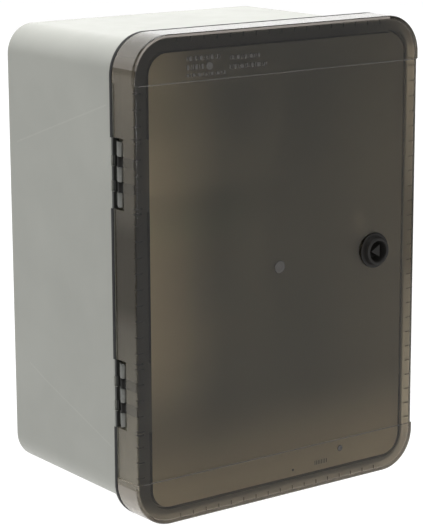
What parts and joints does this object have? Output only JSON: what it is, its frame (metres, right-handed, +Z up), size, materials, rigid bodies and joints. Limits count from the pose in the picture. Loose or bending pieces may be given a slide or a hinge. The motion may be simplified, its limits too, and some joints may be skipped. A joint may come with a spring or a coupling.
{
  "type": "irrigation controller",
  "caption": "Wall-mounted watering controller in a deep moulded cabinet with a smoked hinged door, quarter-turn lock, timer, rail-mounted supply and valve terminals.",
  "frame": {"origin": "middle of the flat back face that lies against the wall", "axes": "+Z up, -Y out of the wall towards the user through the door, +X to the right seen from the front"},
  "size_m": [0.2949, 0.209, 0.4155],
  "materials": {
    "cabinet_grey": "fine satin moulded grey",
    "smoked_clear": "clear smoked polycarbonate, lightly frosted inside",
    "seal_rubber": "matt black foam rubber",
    "pin_steel": "plain drawn steel",
    "lock_black": "semi-gloss black",
    "zinc_plated": "bright zinc plated",
    "cap_grey": "satin grey",
    "plate_white": "white painted steel",
    "timer_white": "satin off-white",
    "timer_base_grey": "satin light grey",
    "board_green": "green solder-resist board",
    "window_clear": "clear polished window",
    "display_grey": "grey-green reflective display",
    "dial_dark": "satin dark grey",
    "button_blue_grey": "satin blue-grey",
    "slider_red": "satin red",
    "rail_zinc": "zinc-plated steel",
    "breaker_white": "satin white",
    "lever_blue": "satin blue",
    "transformer_dark": "satin dark grey",
    "terminal_grey": "satin grey",
    "terminal_blue": "satin blue",
    "clamp_dark": "satin dark grey",
    "strip_green": "satin green",
    "duct_grey": "satin grey",
    "ribbon_grey": "satin grey ribbon",
    "wire_brown": "brown insulation",
    "gland_grey": "satin grey",
    "plug_black": "matt black"
  },
  "bodies": {
    "cabinet": {"enclosure_body": "cabinet_grey", "upper_hinge_pin": "pin_steel", "lower_hinge_pin": "pin_steel", "lock_strike": "zinc_plated", "strike_screw": "zinc_plated", "mounting_plate": "plate_white", "fixing_cap_1": "cap_grey", "plate_screw_1": "zinc_plated", "fixing_cap_2": "cap_grey", "plate_screw_2": "zinc_plated", "fixing_cap_3": "cap_grey", "plate_screw_3": "zinc_plated", "fixing_cap_4": "cap_grey", "plate_screw_4": "zinc_plated", "timer_base": "timer_base_grey", "timer_fascia": "timer_white", "logic_board": "board_green", "display_window": "window_clear", "display_panel": "display_grey", "station_board": "board_green", "station_strip": "strip_green", "din_rail": "rail_zinc", "rail_screw_1": "zinc_plated", "rail_screw_2": "zinc_plated", "breaker_body": "breaker_white", "transformer": "transformer_dark", "end_clamp_1": "clamp_dark", "end_clamp_2": "clamp_dark", "valve_terminal_1": "terminal_blue", "valve_terminal_2": "terminal_grey", "valve_terminal_3": "terminal_grey", "valve_terminal_4": "terminal_grey", "valve_terminal_5": "terminal_grey", "valve_terminal_6": "terminal_grey", "wire_duct": "duct_grey", "duct_cover": "duct_grey", "valve_ribbon": "ribbon_grey", "supply_link": "wire_brown", "gland_1_body": "gland_grey", "gland_1_nut": "gland_grey", "gland_1_locknut": "gland_grey", "gland_1_plug": "plug_black", "gland_2_body": "gland_grey", "gland_2_nut": "gland_grey", "gland_2_locknut": "gland_grey", "gland_2_plug": "plug_black"},
    "door_leaf": {"door": "smoked_clear", "door_gasket": "seal_rubber", "lock_housing": "lock_black", "lock_nut": "lock_black"},
    "lock_turn": {"lock_core": "lock_black", "lock_cam": "zinc_plated", "cam_screw": "zinc_plated"},
    "dial": {"program_dial": "dial_dark"},
    "button_1": {"push_button_1": "button_blue_grey"},
    "button_2": {"push_button_2": "button_blue_grey"},
    "button_3": {"push_button_3": "button_blue_grey"},
    "button_4": {"push_button_4": "button_blue_grey"},
    "slider": {"bypass_slider": "slider_red"},
    "lever": {"breaker_lever": "lever_blue"}
  },
  "joints": [
    {"name": "door_hinge", "type": "hinge", "parent": "cabinet", "child": "door_leaf", "pos_m": [-0.145, -0.181, 0], "axis": [0, 0, -1], "range_deg": [0, 115]},
    {"name": "lock_quarter_turn", "type": "hinge", "parent": "door_leaf", "child": "lock_turn", "pos_m": [0.0998, -0.19, 0.0006], "axis": [0, 1, 0], "range_deg": [0, 90]},
    {"name": "dial_turn", "type": "hinge", "parent": "cabinet", "child": "dial", "pos_m": [0.054, -0.08, 0.112], "axis": [0, 1, 0], "range_deg": [-150, 150]},
    {"name": "button_1_press", "type": "slide", "parent": "cabinet", "child": "button_1", "axis": [0, 1, 0], "range_m": [0, 0.0012], "stiffness_N_per_m": 500},
    {"name": "button_2_press", "type": "slide", "parent": "cabinet", "child": "button_2", "axis": [0, 1, 0], "range_m": [0, 0.0012], "stiffness_N_per_m": 500},
    {"name": "button_3_press", "type": "slide", "parent": "cabinet", "child": "button_3", "axis": [0, 1, 0], "range_m": [0, 0.0012], "stiffness_N_per_m": 500},
    {"name": "button_4_press", "type": "slide", "parent": "cabinet", "child": "button_4", "axis": [0, 1, 0], "range_m": [0, 0.0012], "stiffness_N_per_m": 500},
    {"name": "bypass_slide", "type": "slide", "parent": "cabinet", "child": "slider", "axis": [1, 0, 0], "range_m": [0, 0.008]},
    {"name": "breaker_throw", "type": "hinge", "parent": "cabinet", "child": "lever", "pos_m": [-0.086, -0.072, -0.06], "axis": [1, 0, 0], "range_deg": [0, 50]}
  ]
}
